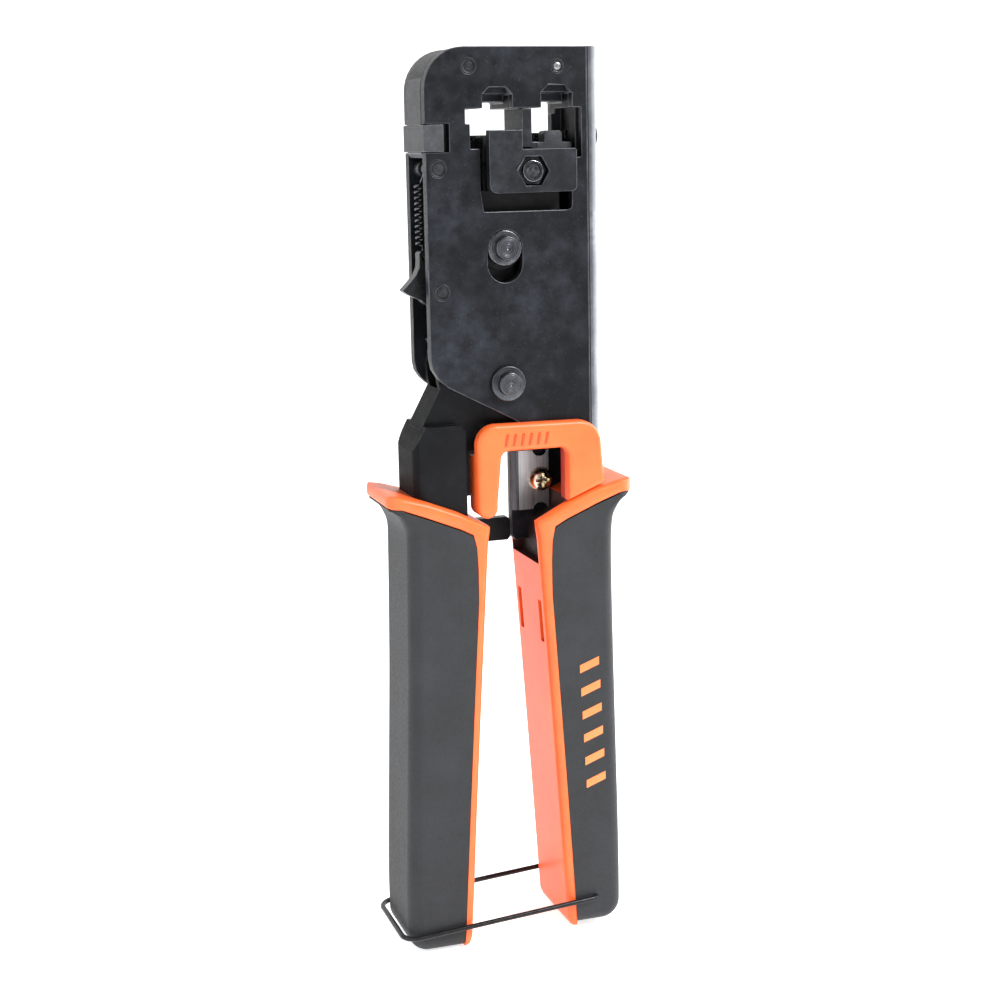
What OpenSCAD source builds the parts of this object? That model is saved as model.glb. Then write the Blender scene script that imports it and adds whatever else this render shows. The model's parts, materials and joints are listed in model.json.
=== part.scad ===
// Ratcheting crimping tool for modular plugs.
// The design frame has its origin on the main pivot pin: X to the right, Z up,
// Y through the thickness with the mid-plane at 0 and the face side at -Y.
// lift_z then raises the whole tool so that z = 0 is the end of the handles.

/* [Head frame] */
// Half the thickness of the head, over the folded plates
head_hy = 7.35; // [7.2:0.05:7.5]
// Thickness of the folded sheet
sheet_t = 2.2; // [2.0:0.05:2.3]
// Height of the head above the main pivot
head_top = 67.6; // [67:0.1:69]
// Open edge of the head, distance left of the pivot
head_left = 16.4; // [16.2:0.1:16.8]
// Outer face of the folded spine, distance right of the pivot
spine_x = 21.0; // [20.8:0.1:21.3]
// Outer radius of the fold
fold_r = 3.0; // [2.6:0.1:3.4]

/* [Plug nests] */
// Left wall of the wide nest
nest8_x0 = -7.85; // [-8:0.05:-7.7]
// Width of the nest for the eight-way plug
nest8_w = 12.0; // [11.8:0.05:12.1]
// Width of the wall between the nests
divider_w = 2.05; // [1.9:0.05:2.2]
// Width of the nest for the six-way plug
nest6_w = 10.15; // [9.8:0.05:10.3]
// Height of the nest ceiling above the pivot
nest_z = 55.5; // [55.2:0.1:55.8]

/* [Toggle drive] */
// Length of each half of the toggle, pivot to knee and knee to drive pin
knee_len = 13.85; // [13.7:0.05:13.95]
// Stroke left in the slots for the drive pin
stroke = 3.35; // [3.3:0.05:3.6]
// Radius of the pivot and drive pin shafts
pin_r = 2.5; // [2.4:0.05:2.6]
// Radial running clearance of the pins
run_fit = 0.05; // [0.03:0.01:0.08]
// Half thickness of the lever and the carriage between the plates
inner_hy = 4.85; // [4.7:0.05:4.9]
// Half thickness of the toggle link
link_hy = 2.55; // [2.4:0.05:2.6]

/* [Ratchet] */
// Tip radius of the ratchet teeth
tooth_r = 17.5; // [17.3:0.1:17.6]
// Depth of the ratchet teeth
tooth_h = 1.1; // [0.8:0.1:1.3]
// Number of ratchet teeth
tooth_n = 6; // [4:1:6]
// Half thickness of the pawl and the toothed sector
pawl_hy = 1.6; // [1.4:0.1:1.8]

/* [Handles] */
// Half the thickness of the handles
grip_hy = 10.2; // [10:0.1:10.4]
// Half the thickness of the liner core inside the grip
core_hy = 8.2; // [8.1:0.05:8.4]
// Width of the liner's visible inner band
band_w = 1.8; // [1.6:0.1:2.0]
// Inner face of each handle at the reference height, distance from the middle
inner_x = 5.8; // [5.7:0.1:6]
// Slope of the handles, sideways distance for each unit of height
inner_slope = 0.068; // [0.065:0.0005:0.07]
// Sideways sag of the inner faces towards the handle ends
inner_sag = 0.4; // [0.2:0.05:0.5]
// Outer tip of the thumb flange, distance from the middle
flange_tip = 27.0; // [26.8:0.1:27.2]

/* [Wire bail] */
// Diameter of the bail wire
wire_d = 1.1; // [1.0:0.05:1.2]
// Sideways distance of the bail pivot from the middle
bail_x = 17.2; // [17:0.1:17.4]
// Height of the bail pivot
bail_z = -114.3; // [-114.5:0.1:-114]
// Distance of the wire from the grip faces
wire_gap = 0.35; // [0.3:0.05:0.4]

/* [Strip station] */
// Thickness of the stripping blade
blade_t = 1.0; // [0.8:0.1:1.2]
// Thickness of the finger guard
guard_t = 2.75; // [2.6:0.05:2.8]

/* [Hidden] */
$fn = 48;
e = 0.01;
lift_z = 121.5;
plate_y = head_hy - sheet_t;          // inner faces of the plates
drive_z = 2 * knee_len;               // drive pin height, toggle straight
nest8_x1 = nest8_x0 + nest8_w;
nest6_x0 = nest8_x1 + divider_w;
nest6_x1 = nest6_x0 + nest6_w;
pawl_x = -13.6;
pawl_z = 19.2;
anchor_x = -13.8;
anchor_z = 43.8;
pawl_a = atan2(pawl_z, pawl_x);       // direction of the pawl from the pivot
pawl_d = norm([pawl_x, pawl_z]);
hook_x = -15.4;
hook_z = 25.9;
spring_x = -15.9;
wire_y = grip_hy + wire_gap + wire_d / 2;
black = [0.09, 0.09, 0.10];
oxide = [0.16, 0.16, 0.18];
steel = [0.62, 0.63, 0.66];
grey = [0.38, 0.38, 0.40];
orange = [0.95, 0.36, 0.14];
brass = [0.80, 0.62, 0.28];
zinc = [0.70, 0.71, 0.73];

// ---- helpers -------------------------------------------------------------

// Raises a piece from the design frame to the final one
module put() { translate([0, 0, lift_z]) children(); }

// Extrudes an X-Z outline between two Y planes
module slab(y0, y1) {
  translate([0, y1, 0]) rotate([90, 0, 0]) linear_extrude(y1 - y0) children();
}

// Round bar along Y at x, z
module bar(x, z, r, y0, y1, f = 48) {
  translate([x, y1, z]) rotate([90, 0, 0]) cylinder(r = r, h = y1 - y0, $fn = f);
}

// Disc in an X-Z outline
module disc(x, z, r) { translate([x, z]) circle(r = r); }

// Axis-aligned box from two corners
module box3(a, b) { translate(a) cube([b[0] - a[0], b[1] - a[1], b[2] - a[2]]); }

// Vertical slot outline
module slot2d(x, z0, z1, r) {
  disc(x, z0, r);
  disc(x, z1, r);
  translate([x - r, z0]) square([2 * r, z1 - z0]);
}

function arc(cx, cz, r, a0, a1, n) =
  [for (i = [0:n]) let (a = a0 + (a1 - a0) * i / n) [cx + r * cos(a), cz + r * sin(a)]];
function xin(z) = inner_x + (-z - 37) * inner_slope - inner_sag * (z + 37) * (z + 37) / 7056;

// ---- frame ---------------------------------------------------------------

head_r = 8.5;
function head_top_left() = arc(-head_left + head_r, head_top - head_r, head_r, 180, 90, 10);

// Front plate: open below the sloping edge, cut away at the strip station
module front_plate2d() {
  polygon(concat(head_top_left(), [[18.1, head_top], [18.1, -26], [19, -30],
    [20, -94], [14.6, -94], [11.4, -34], [12.75, -28], [12.75, -13.8],
    [1.7, -8.0], [-12.9, -0.2], [-14.7, 1.5], [-16.0, 3.6], [-head_left, 5.6]]));
}

// Back plate: carries the stripping blade, so it reaches further left
module back_plate2d() {
  polygon(concat(head_top_left(), [[18.1, head_top], [18.1, -26], [19, -30],
    [20, -94], [14.6, -94], [11.5, -36], [5.2, -36], [4.45, -35.2], [4.45, -9.5],
    [-12.6, -1.25], [-13.9, -0.5], [-15.1, 0.7], [-16.05, 2.2], [-head_left, 4.1]]));
}

// Spine with both folds, seen from above
module fold2d() {
  difference() {
    union() {
      translate([17.9, -head_hy]) square([spine_x - fold_r - 17.9 + e, 2 * head_hy]);
      translate([spine_x - fold_r, -(head_hy - fold_r)]) square([fold_r, 2 * (head_hy - fold_r)]);
      for (s = [-1, 1]) translate([spine_x - fold_r, s * (head_hy - fold_r)]) circle(r = fold_r);
    }
    translate([13, -plate_y]) square([spine_x - sheet_t - 13, 2 * plate_y]);
  }
}

// Latch notch above a nest
module latch2d(x0, x1, z1, c) {
  polygon([[x0, nest_z - 1], [x1, nest_z - 1], [x1, z1 - c], [x1 - c, z1], [x0 + c, z1], [x0, z1 - c]]);
}

module frame_channel() put() color(oxide) difference() {
  union() {
    slab(-head_hy, -plate_y) front_plate2d();
    slab(plate_y, head_hy) back_plate2d();
    translate([0, 0, -25]) linear_extrude(head_top + 25) fold2d();
  }
  // notches for the lug of the die block, both plates
  box3([-head_left - 1, -9, 47.0], [-11.3, 9, 52.65]);
  // openings of the two nests, both plates
  box3([nest8_x0, -9, 52.5], [nest6_x1 + 0.5, 0, nest_z]);
  box3([nest8_x0, 0, 52.5], [14.9, 9, nest_z]);
  box3([nest8_x0 + 0.95, -9, 47.6], [nest6_x1 + 0.5, 0, 52.6]);
  box3([nest8_x0 + 0.95, 0, 47.6], [14.9, 9, 52.6]);
  box3([13.5, -9, 45.6], [nest6_x1 + 0.5, 0, 48]);
  // latch notches: tall in front, low at the back
  slab(-9, 0) latch2d(-4.2, 2.1, 59.6, 1.4);
  slab(-9, 0) latch2d(8.3, 14.9, 59.9, 1.4);
  slab(0, 9) latch2d(-4.2, 2.1, 56.9, 0.3);
  slab(0, 9) latch2d(8.3, 14.9, 56.9, 0.3);
  // carriage window, front plate only
  slab(-9, 0) polygon(concat([[-4.9, 48], [-4.9, 39], [-4.3, 35.05]],
    arc(13.7, 36.05, 1.0, 270, 360, 5), [[14.7, 48]]));
  // slots for the drive pin
  slab(-9, 9) slot2d(0, drive_z - stroke, drive_z, 3.7);
  // pins and rivets
  bar(0, 0, pin_r + 0.02, -9, 9);
  bar(pawl_x, pawl_z, 1.62, -9, 9);
  bar(anchor_x, anchor_z, 1.72, -9, 9);
  bar(-7.0, 63.8, 1.52, -9, 9);
  bar(11.8, 63.7, 1.32, -9, 9);
  // screw in the spine
  translate([17, 0, 49.8]) rotate([0, 90, 0]) cylinder(r = 1.55, h = 6);
  // blade screw
  bar(10.8, -22.9, 1.3, 0, 9);
}

module upper_die_block() put() color(grey) difference() {
  union() {
    slab(-plate_y + 0.1, plate_y - 0.1) difference() {
      polygon(concat(arc(-head_left + head_r - 0.1, head_top - head_r - 0.1, head_r, 180, 90, 10),
        [[spine_x - sheet_t - 0.2, head_top - 0.1], [spine_x - sheet_t - 0.2, 46.9],
         [nest6_x1, 46.9], [nest6_x1, nest_z], [nest6_x0, nest_z], [nest6_x0, 47.4],
         [nest8_x1, 47.4], [nest8_x1, nest_z], [nest8_x0, nest_z], [nest8_x0, 46.9],
         [-13.5, 46.9], [-14.0, 46.0], [-16.0, 46.0], [-head_left - 0.1, 46.9]]));
    }
    // wall between the nests, out to the faces of the plates
    box3([nest8_x1, -head_hy + 0.05, 47.7], [nest6_x0, 4.1, nest_z - 0.1]);
    // foot of that wall
    box3([nest8_x1, -head_hy + 0.05, 47.7], [7.7, -5.25, 48.75]);
    // plug stop at the back of the narrow nest
    box3([14.1, 2.9, 50.95], [nest6_x1 + 0.4, plate_y - 0.1, nest_z + 0.3]);
    // lug that locks into both plates
    box3([-head_left - 0.25, -head_hy - 0.1, 47.15], [-12.4, head_hy + 0.1, 52.5]);
  }
  // the wall between the nests stops short of the back plate
  box3([nest8_x1 - 0.05, 4.1, 46.0], [nest6_x0 + 0.05, 9, nest_z]);
  // latch channels
  slab(-9, 9) latch2d(-4.2, 2.1, 56.9, 0.3);
  slab(-9, 9) latch2d(8.3, 14.9, 56.9, 0.3);
  slab(-9, -1.6) latch2d(-4.2, 2.1, 58.4, 0.3);
  slab(-9, -1.6) latch2d(8.3, 14.9, 58.6, 0.3);
  bar(-7.0, 63.8, 1.52, -9, 9);
  bar(11.8, 63.7, 1.32, -9, 9);
  translate([15, 0, 49.8]) rotate([0, 90, 0]) cylinder(r = 1.2, h = 6);
}

module head_rivets() put() color(oxide) {
  bar(-7.0, 63.8, 1.5, -head_hy - 0.2, head_hy + 0.2);
  bar(11.8, 63.7, 1.3, -head_hy - 0.2, head_hy + 0.2);
}

module block_screw() put() color(oxide) translate([0, 0, 49.8]) rotate([0, 90, 0])
  difference() {
    union() {
      translate([0, 0, 16.8]) cylinder(r = 1.18, h = spine_x - 16.8);
      translate([0, 0, spine_x + 0.02]) cylinder(r = 2.2, h = 1.5);
      translate([0, 0, spine_x - 0.5]) cylinder(r = 1.18, h = 1);
    }
    translate([0, 0, spine_x + 0.8]) cylinder(r = 1.1, h = 2, $fn = 6);
  }

module pivot_pin() put() color(grey) difference() {
  union() {
    bar(0, 0, pin_r, -head_hy - 0.5, head_hy + 1.6);
    bar(0, 0, 3.65, -head_hy - 1.0, -head_hy - 0.01);
    bar(0, 0, 2.45, -head_hy - 2.5, -head_hy - 0.9);
  }
  // groove for the clip
  difference() {
    bar(0, 0, 3.2, head_hy + 0.3, head_hy + 1.0);
    bar(0, 0, 2.0, head_hy, head_hy + 2);
  }
}

// Spring clip in a pin groove, open to one side
module e_clip(z) {
  slab(head_hy + 0.35, head_hy + 0.95) difference() {
    disc(0, z, 4.0);
    disc(0, z, 2.05);
    translate([-1.7, z - 5]) square([3.4, 5]);
  }
}

module pivot_pin_clip() put() color(zinc) e_clip(0);

module spring_anchor_pin() put() color(grey) {
  bar(anchor_x, anchor_z, 1.7, -head_hy - 0.2, -1.2);
  bar(anchor_x, anchor_z, 1.2, -1.3, 1.3);
  bar(anchor_x, anchor_z, 1.7, 1.2, head_hy + 0.2);
}

module pawl_pin() put() color(grey)
  bar(pawl_x, pawl_z, 1.6, -head_hy - 0.2, head_hy + 0.2);

// Extension spring: scalloped coil body with a hook at each end
spring_r = 0.9;
spring_w = 0.5;
spring_z0 = 28.2;
spring_z1 = 41.0;
spring_n = 11;
module pawl_spring() put() color(steel) {
  pitch = (spring_z1 - spring_z0) / spring_n;
  translate([spring_x, 0, 0]) rotate_extrude($fn = 24) polygon(concat(
    [for (i = [0:spring_n - 1]) each [
      [spring_r - 0.1, spring_z0 + i * pitch],
      [spring_r + 0.25, spring_z0 + (i + 0.25) * pitch],
      [spring_r + 0.25, spring_z0 + (i + 0.5) * pitch],
      [spring_r - 0.1, spring_z0 + (i + 0.75) * pitch]]],
    [[spring_r - 0.1, spring_z1], [spring_r - 0.35, spring_z1], [spring_r - 0.35, spring_z0]]));
}

// ---- strip station -------------------------------------------------------

module guard2d() {
  polygon(concat(
    arc(-3.45, -12.4, 4.2, 180, 90, 8),
    arc(14.6, -13.55, 5.15, 90, 8, 8),
    [[20.1, -17.6], [20.6, -22.0], [12.2, -25.35], [12.2, -20]],
    arc(10.5, -15.6, 1.7, 0, 90, 5),
    arc(-0.75, -15.6, 1.7, 90, 180, 5),
    [[-3.35, -24.8]], arc(-5.5, -25.6, 2.15, 0, -180, 8)));
}

module strip_guard() put() color(orange) {
  slab(-grip_hy, -head_hy - 0.05) guard2d();
  slab(-head_hy - 0.1, -3.6) polygon(concat([[-7.6, -14.8], [-2.9, -14.8], [-3.35, -24.8]],
    arc(-5.5, -25.6, 2.15, 0, -180, 8)));
  // return over the edge of the front plate
  slab(-head_hy - 0.1, -5.05) polygon([[12.2, -16.0], [12.2, -25.0], [12.6, -25.0], [12.6, -16.0]]);
}

module strip_blade() put() color(steel) difference() {
  slab(plate_y - blade_t, plate_y - 0.01) difference() {
    polygon([[4.2, -16.4], [12.9, -16.4], [12.9, -29.4], [4.2, -29.4]]);
    disc(10.8, -16.2, 1.6);
    disc(10.8, -29.6, 1.6);
    disc(10.8, -22.9, 1.3);
  }
  // ground bevel of the cutting edge
  translate([4.15, plate_y - 0.15, -30]) rotate([0, 0, -25]) translate([-2, -2, 0]) cube([4.2, 2, 14]);
}

module blade_screw() put() color(brass) difference() {
  union() {
    bar(10.8, -22.9, 2.55, plate_y - blade_t - 1.3, plate_y - blade_t - 0.02);
    bar(10.8, -22.9, 2.0, plate_y - blade_t - 2.0, plate_y - blade_t - 1.2);
    bar(10.8, -22.9, 1.27, plate_y - blade_t - 0.5, head_hy + 0.2);
  }
  slab(plate_y - blade_t - 2.5, plate_y - blade_t - 1.1) {
    translate([10.8 - 1.4, -22.9 - 0.35]) square([2.8, 0.7]);
    translate([10.8 - 0.35, -22.9 - 1.4]) square([0.7, 2.8]);
  }
}

// ---- handles -------------------------------------------------------------

// Line of the flange's top edge, and of its lower edge, from inside outwards;
// d lowers the inner part a little
function flange_top(d) = [[5.0, -28.6 - d], [12.0, -25.4 - d], [18.5, -22.8 - d], [23.5, -21.6 - d / 2], [27.8, -21.4]];
function flange_low(d) = [[27.8, -24.2], [23.5, -24.5 - d / 2], [18.5, -26.2 - d], [12.0, -28.9 - d], [9.0, -30.3 - d], [8.3, -32]];

// Handle pieces are drawn for the right side and mirrored for the left
module side(s) { if (s > 0) children(); else mirror([1, 0, 0]) children(); }

module flange(d) {
  intersection() {
    slab(-grip_hy, grip_hy) polygon(concat(flange_top(d), flange_low(d), [[5.0, -34]]));
    translate([0, 0, -40]) linear_extrude(25) {
      translate([4, -grip_hy]) square([flange_tip - 3 - 4, 2 * grip_hy]);
      translate([4, 3 - grip_hy]) square([flange_tip - 4, 2 * grip_hy - 6]);
      for (s = [-1, 1]) translate([flange_tip - 3, s * (grip_hy - 3)]) circle(r = 3);
    }
  }
}

// Inner band that faces the other handle
module band(zb) {
  slab(-grip_hy, grip_hy) polygon([[5.0, -30.0], [xin(-37), -37], [xin(-60), -60], [xin(-80), -80], [xin(-100), -100],
    [xin(zb + 2.4), zb + 2.4], [xin(zb) + 0.25, zb + 1.0], [xin(zb) + 0.8, zb + 0.25], [xin(zb) + 1.4, zb], [xin(zb) + band_w + 0.1, zb],
    [xin(-100) + band_w, -100], [xin(-80) + band_w, -80], [xin(-60) + band_w, -60], [xin(-37) + band_w, -37], [8.3, -31.5]]);
}

module liner_body(zb, xo, d) {
  union() {
    flange(d);
    band(zb);
    slab(-core_hy, core_hy) polygon([[xin(-33) + 1, -30], [xo, -26.5], [xo, -31], [xo + 0.9, -100],
      [xo + 0.6, zb + 5.2], [xin(zb + 4) + 1, zb + 5.2], [xin(-37) + 1, -37]]);
  }
}

module right_liner() put() color(orange) difference() {
  liner_body(-120.9, 20.4, 0.25);
  // the steel tangs of the frame
  slab(-head_hy - 0.15, -plate_y + 0.15) polygon([[11.8, -20], [18.3, -20], [19.25, -30], [20.3, -94.3], [14.3, -94.3], [11.1, -34], [11.7, -28]]);
  slab(plate_y - 0.15, head_hy + 0.15) polygon([[3, -20], [18.3, -20], [19.25, -30], [20.3, -94.3], [14.3, -94.3], [11.1, -36.3], [3, -36.3]]);
  translate([0, 0, -27]) linear_extrude(10) translate([15, -head_hy - 0.15]) square([spine_x + 0.15 - 15, 2 * head_hy + 0.3]);
  // hollow between the tangs, open at the inner top corner
  box3([3, -8.0, -38.8], [13.2, 8.6, -20]);
  slab(-4.4, 4.4) polygon([[12.0, -30], [17.6, -30], [18.6, -92], [14.8, -92]]);
  // two slots in the inner face
  box3([4, -7.6, -56.2], [9.3, -5.4, -47]);
  box3([4, 5.4, -56.2], [9.3, 7.6, -47]);
  // bail pivot
  bar(bail_x, bail_z, wire_d / 2 + 0.08, -grip_hy - 1, -core_hy + 2.5, 24);
  bar(bail_x, bail_z, wire_d / 2 + 0.08, core_hy - 2.5, grip_hy + 1, 24);
}

module left_liner() put() color(orange) side(-1) difference() {
  union() {
    difference() {
      liner_body(-121.5, 20.5, 0.55);
      // the lever's steel channel
      slab(-head_hy - 0.15, head_hy + 0.15) polygon([[9.0, -18], [20.7, -18], [20.7, -26.5], [18.9, -31],
        [20.1, -94.3], [13.4, -94.3], [9.0, -34]]);
    }
    // rib that fills the channel
    slab(-2.7, 2.7) polygon([[8.5, -38], [17.0, -38], [17.6, -94.5], [13.0, -94.5], [10.2, -62]]);
    slab(-4.5, 4.5) polygon([[8.5, -38], [13.0, -38], [13.0, -94.5], [10.2, -62]]);
  }
  // closing stop
  box3([3, plate_y - 0.15, -36.2], [10, head_hy + 0.15, -30.5]);
  // room for the anvil over the flange
  box3([3, plate_y - 0.15, -31], [10, head_hy + 0.15, -20]);
}

// Soft-edged outline of a grip, stepped back by i at its outer edges
module grip2d(i, zb, o, d) {
  polygon([[9.2, -31.3 - d], [22.0 - i, -25.6 - d - i * 0.2], [o[0][0] - i, -29.5], [o[1][0] - i, o[1][1]], [o[2][0] - i, o[2][1]],
    [o[3][0] - i, zb + 4.6], [o[3][0] - i - 1.3, zb + 1.3 + i * 0.4], [o[3][0] - 4.6 - i * 0.5, zb + i * 0.3],
    [xin(zb) + band_w + 0.2, zb + i * 0.3], [xin(-90) + band_w + 0.12, -90], [xin(-60) + band_w + 0.12, -60], [8.4 , -37]]);
}

module grip_body(zb, o, d) {
  hull() {
    slab(-grip_hy + 2.4, grip_hy - 2.4) grip2d(0, zb, o, d);
    slab(-grip_hy + 0.7, grip_hy - 0.7) grip2d(0.7, zb, o, d);
    slab(-grip_hy, grip_hy) grip2d(2.4, zb, o, d);
  }
}

// Lip of the grip that supports the flange from below
module flange_lip() {
  intersection() {
    slab(-grip_hy + 0.6, grip_hy - 0.6) polygon([[21.0, -25.0], [24.0, -24.4], [26.6, -24.3], [26.2, -25.0],
      [24.3, -26.6], [23.2, -28.6], [22.6, -31], [21.0, -31]]);
    translate([0, 0, -40]) linear_extrude(25) {
      translate([4, 3 - grip_hy]) square([flange_tip - 0.4 - 4, 2 * grip_hy - 6]);
      translate([4, 0.4 - grip_hy]) square([flange_tip - 3.4 - 4, 2 * grip_hy - 0.8]);
      for (s = [-1, 1]) translate([flange_tip - 3.4, s * (grip_hy - 3)]) circle(r = 2.6);
    }
  }
}

module grip_cut(zb, xo, d) {
  // core of the liner, the band and the flange
  slab(-core_hy - 0.05, core_hy + 0.05) polygon([[4, -20], [xo + 0.05, -20], [xo + 0.05, -31], [xo + 0.95, -100],
    [xo + 0.65, zb + 4.4], [4, zb + 4.4]]);
  slab(-grip_hy - 1, grip_hy + 1) polygon([[3, -20], [3, zb - 1], [xin(zb) + band_w + 0.15, zb - 1],
    [xin(zb) + band_w + 0.15, zb], [xin(-100) + band_w + 0.05, -100], [xin(-80) + band_w + 0.05, -80], [xin(-60) + band_w + 0.05, -60],
    [xin(-37) + band_w + 0.05, -37], [8.35, -32.05], [9.05, -30.35 - d], [12.0, -28.95 - d], [18.5, -26.25 - d],
    [23.5, -24.55 - d / 2], [27.8, -24.25], [29, -24.2], [29, -15]]);
}

module right_grip() put() color(black) difference() {
  union() {
    grip_body(-120.5, [[22.4, -31], [22.7, -60], [23.45, -95], [23.6, -116]], 0.25);
    flange_lip();
  }
  grip_cut(-120.5, 20.4, 0.25);
  for (s = [-1, 1]) {
    bar(bail_x, bail_z, wire_d / 2 + 0.07, s > 0 ? core_hy - 1 : -grip_hy - 1, s > 0 ? grip_hy + 1 : -core_hy + 1, 24);
  }
  slab(-grip_hy - 1, -grip_hy + 0.45) inlay2d(0.02);
}

module left_grip() put() color(black) side(-1) difference() {
  union() {
    grip_body(-121.5, [[22.7, -31], [23.2, -60], [24.6, -98], [25.0, -116]], 0.55);
    flange_lip();
  }
  grip_cut(-121.5, 20.5, 0.55);
}

// Generic decoration: a row of slanted bars
module inlay2d(g) {
  for (i = [0:5]) translate([16.3 + i * 0.25, -63 - i * 5.2])
    polygon([[-2.2 - g, -0.1 - g], [2.2 + g, 1.5 - g], [2.2 + g, 3.3 + g], [-2.2 - g, 1.7 + g]]);
}

module grip_inlay() put() color(orange) slab(-grip_hy - 0.05, -grip_hy + 0.43) inlay2d(0);

// ---- moving handle -------------------------------------------------------

// Cheeks of the lever between the plates
module lever2d() {
  polygon([[-4.0, 15.2], [-9.6, 12.4], [-13.0, 8.4], [-14.4, 4.0], [-14.1, 0.2], [-13.75, -0.8],
    [-17.75, -8.2], [-18.9, -10.3], [-18.9, -18], [-9.3, -18], [-9.3, -14.6], [-3.5, -12.6], [2.0, -9.6],
    [6.2, -4.0], [6.9, 1.5], [4.4, 13.0], [0, 13.85]]);
  disc(0, knee_len, 4.3);
  disc(0, 0, 6.9);
}

// Outer cheeks of the handle channel below the shoulder
module channel2d() {
  polygon([[-17.7, -8.2], [-18.0, -8.8], [-18.0, -25], [-16.9, -31], [-17.9, -94], [-13.7, -94], [-9.3, -34],
    [-9.3, -9.7], [-10.3, -8.2]]);
}

module drive_lever() put() color(black) difference() {
  union() {
    slab(-inner_hy, -inner_hy + 1.95) lever2d();
    slab(inner_hy - 1.95, inner_hy) lever2d();
    slab(-head_hy, -inner_hy + 0.05) channel2d();
    slab(inner_hy - 0.05, head_hy) channel2d();
    // folded back of the channel
    intersection() {
      slab(-head_hy, head_hy) polygon([[-16.0, -8.2], [-17.75, -8.2], [-20.45, -13.2], [-20.45, -25],
        [-18.6, -31], [-19.7, -94], [-16.0, -94]]);
      difference() {
        translate([0, 0, -95]) linear_extrude(90) {
          translate([-18.05, -head_hy]) square([4, 2 * head_hy]);
          translate([-20.45, -(head_hy - 2.4)]) square([6.4, 2 * (head_hy - 2.4)]);
          for (s = [-1, 1]) translate([-18.05, s * (head_hy - 2.4)]) circle(r = 2.4);
        }
        // hollow between the cheeks, closed at the shoulder
        box3([-18.0, -inner_hy + 1.95, -96], [-12, inner_hy - 1.95, -12.5]);
      }
    }
    // back of the narrow part between the cheeks
    slab(-inner_hy, inner_hy) polygon([[-13.75, -0.8], [-17.75, -8.2], [-18.2, -9.0], [-16.5, -9.0], [-12.6, -1.4]]);
    // anvil of the strip station and closing stop, on the back cheek
    slab(plate_y, head_hy) polygon([[-12, -14.8], [1.0, -14.8], [1.6, -15.4], [1.6, -24.9], [1.0, -25.5], [-12, -25.5]]);
    slab(plate_y, head_hy) polygon([[-12, -30.8], [3.5, -30.8], [4.15, -31.5], [4.15, -35.2], [3.5, -35.9], [-12, -35.9]]);
  }
  bar(0, 0, 3.32, -9, 9);
  bar(0, knee_len, 2.22, -9, 9);
  for (p = sector_rivet_pts) bar(p[0], p[1], 1.02, -9, 9);
}

sector_rivet_pts = [[-8.6, 9.2], [-11.4, 4.6]];

// Toothed sector: plain run, teeth, plain run
function tooth_pts() = [for (i = [0:tooth_n - 1]) let (a = 131.2 + i * 3.1) each
  [[(tooth_r - tooth_h) * cos(a), (tooth_r - tooth_h) * sin(a)],
   [tooth_r * cos(a + 1.1), tooth_r * sin(a + 1.1)],
   [tooth_r * cos(a + 2.0), tooth_r * sin(a + 2.0)]]];

module ratchet_sector() put() color(steel) difference() {
  slab(-pawl_hy, pawl_hy) polygon(concat(
    [[-5.2, 9.3], [-9.6, 12.6]], tooth_pts(),
    [[16.2 * cos(151), 16.2 * sin(151)], [16.0 * cos(156), 16.0 * sin(156)], [-13.6, 2.4], [-8.2, 3.0]]));
  for (p = sector_rivet_pts) bar(p[0], p[1], 1.02, -9, 9);
}

module sector_rivets() put() color(grey)
  for (p = sector_rivet_pts) bar(p[0], p[1], 1.0, -inner_hy, inner_hy, 24);

module knee_pin() put() color(steel) bar(0, knee_len, 2.2, -inner_hy, inner_hy);

module pivot_bush() put() color(brass) difference() {
  bar(0, 0, 3.3, -inner_hy - 0.1, inner_hy + 0.1);
  bar(0, 0, pin_r + run_fit, -9, 9);
}

// ---- toggle link and carriage --------------------------------------------

module toggle_link() put() color(steel) difference() {
  slab(-link_hy, link_hy) {
    disc(0, knee_len, 4.0);
    disc(0, drive_z, 4.0);
    translate([-3.6, knee_len]) square([7.2, knee_len]);
  }
  bar(0, knee_len, 2.2 + run_fit, -9, 9);
  bar(0, drive_z, pin_r + run_fit, -9, 9);
}

module die_carriage() put() color(grey) difference() {
  union() {
    slab(-inner_hy, inner_hy) {
      polygon([[-10.4, 44.4], [12.9, 44.4], [12.9, 34.0], [7.5, 31.0], [4.6, 27.7], [-4.6, 27.7], [-6.5, 31.0], [-10.4, 34.0]]);
      disc(0, drive_z, 4.6);
    }
    // pad behind the face plate, in the window
    box3([-3.2, -head_hy - 0.02, 39.1], [12.9, -inner_hy + 0.1, 44.4]);
  }
  // room for the toggle link
  box3([-9.0, -link_hy - 0.3, 20], [9.0, link_hy + 0.3, drive_z + 4.9]);
  // relief under the wide nest
  box3([-11, -9, 39.3], [-3.6, 0.4, 45]);
  bar(0, drive_z, pin_r + 0.02, -9, 9);
  bar(5.65, 43.0, 1.52, -9, 9);
}

module carriage_plate() put() color(oxide) difference() {
  slab(-head_hy - 2.3, -head_hy - 0.12) polygon(concat([[-3.7, 51.2], [3.4, 51.2], [3.4, 47.4], [14.6, 47.4], [15.0, 47.0]],
    arc(13.9, 39.9, 1.1, 0, -90, 4), arc(-2.2, 40.2, 1.5, 270, 180, 4)));
  slab(-12, -head_hy) translate([5.65, 43.0]) circle(r = 3.35, $fn = 6);
}

module carriage_nut() put() color(zinc) difference() {
  union() {
    slab(-head_hy - 1.1, -head_hy - 0.12) translate([5.65, 43.0]) circle(r = 3.15, $fn = 6);
    bar(5.65, 43.0, 2.15, -head_hy - 2.0, -head_hy - 1.0);
  }
  bar(5.65, 43.0, 1.55, -12, 0);
}

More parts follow.
